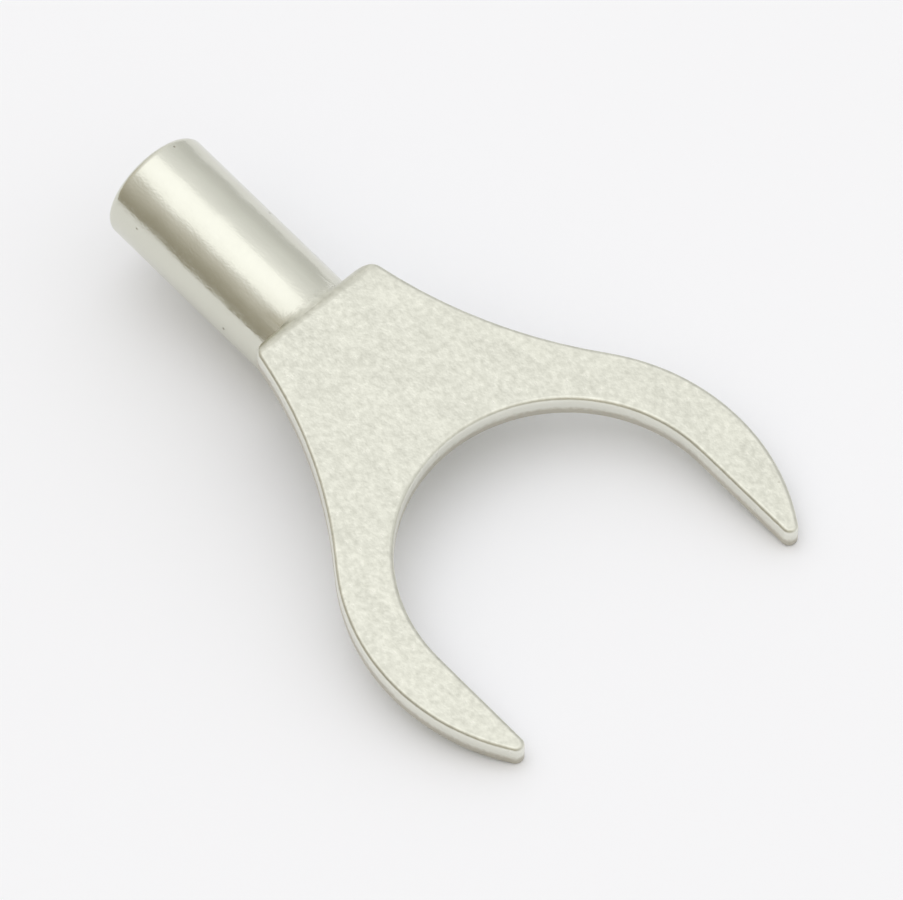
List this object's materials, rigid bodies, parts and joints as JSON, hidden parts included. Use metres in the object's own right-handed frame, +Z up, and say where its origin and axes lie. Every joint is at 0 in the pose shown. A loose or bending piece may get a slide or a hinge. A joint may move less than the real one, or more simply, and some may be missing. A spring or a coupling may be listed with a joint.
{
  "type": "fork terminal",
  "caption": "Uninsulated fork terminal: open fork for a stud on a flaring flat tongue, which bends down over a small crest into the top of a rolled round wire barrel with a butt seam below.",
  "frame": {"origin": "centre of the stud that the fork takes, half way through the sheet", "axes": "+X from the barrel's mouth to the fork, +Y across the fork, +Z up; the terminal lies at rest on its fork tips and the front edge of its barrel"},
  "size_m": [0.0217, 0.013, 0.0048],
  "materials": {
    "tin_plate": "satin tin plate on copper sheet, brighter on the rolled barrel"
  },
  "bodies": {
    "root": {"fork_terminal": "tin_plate"}
  },
  "joints": []
}
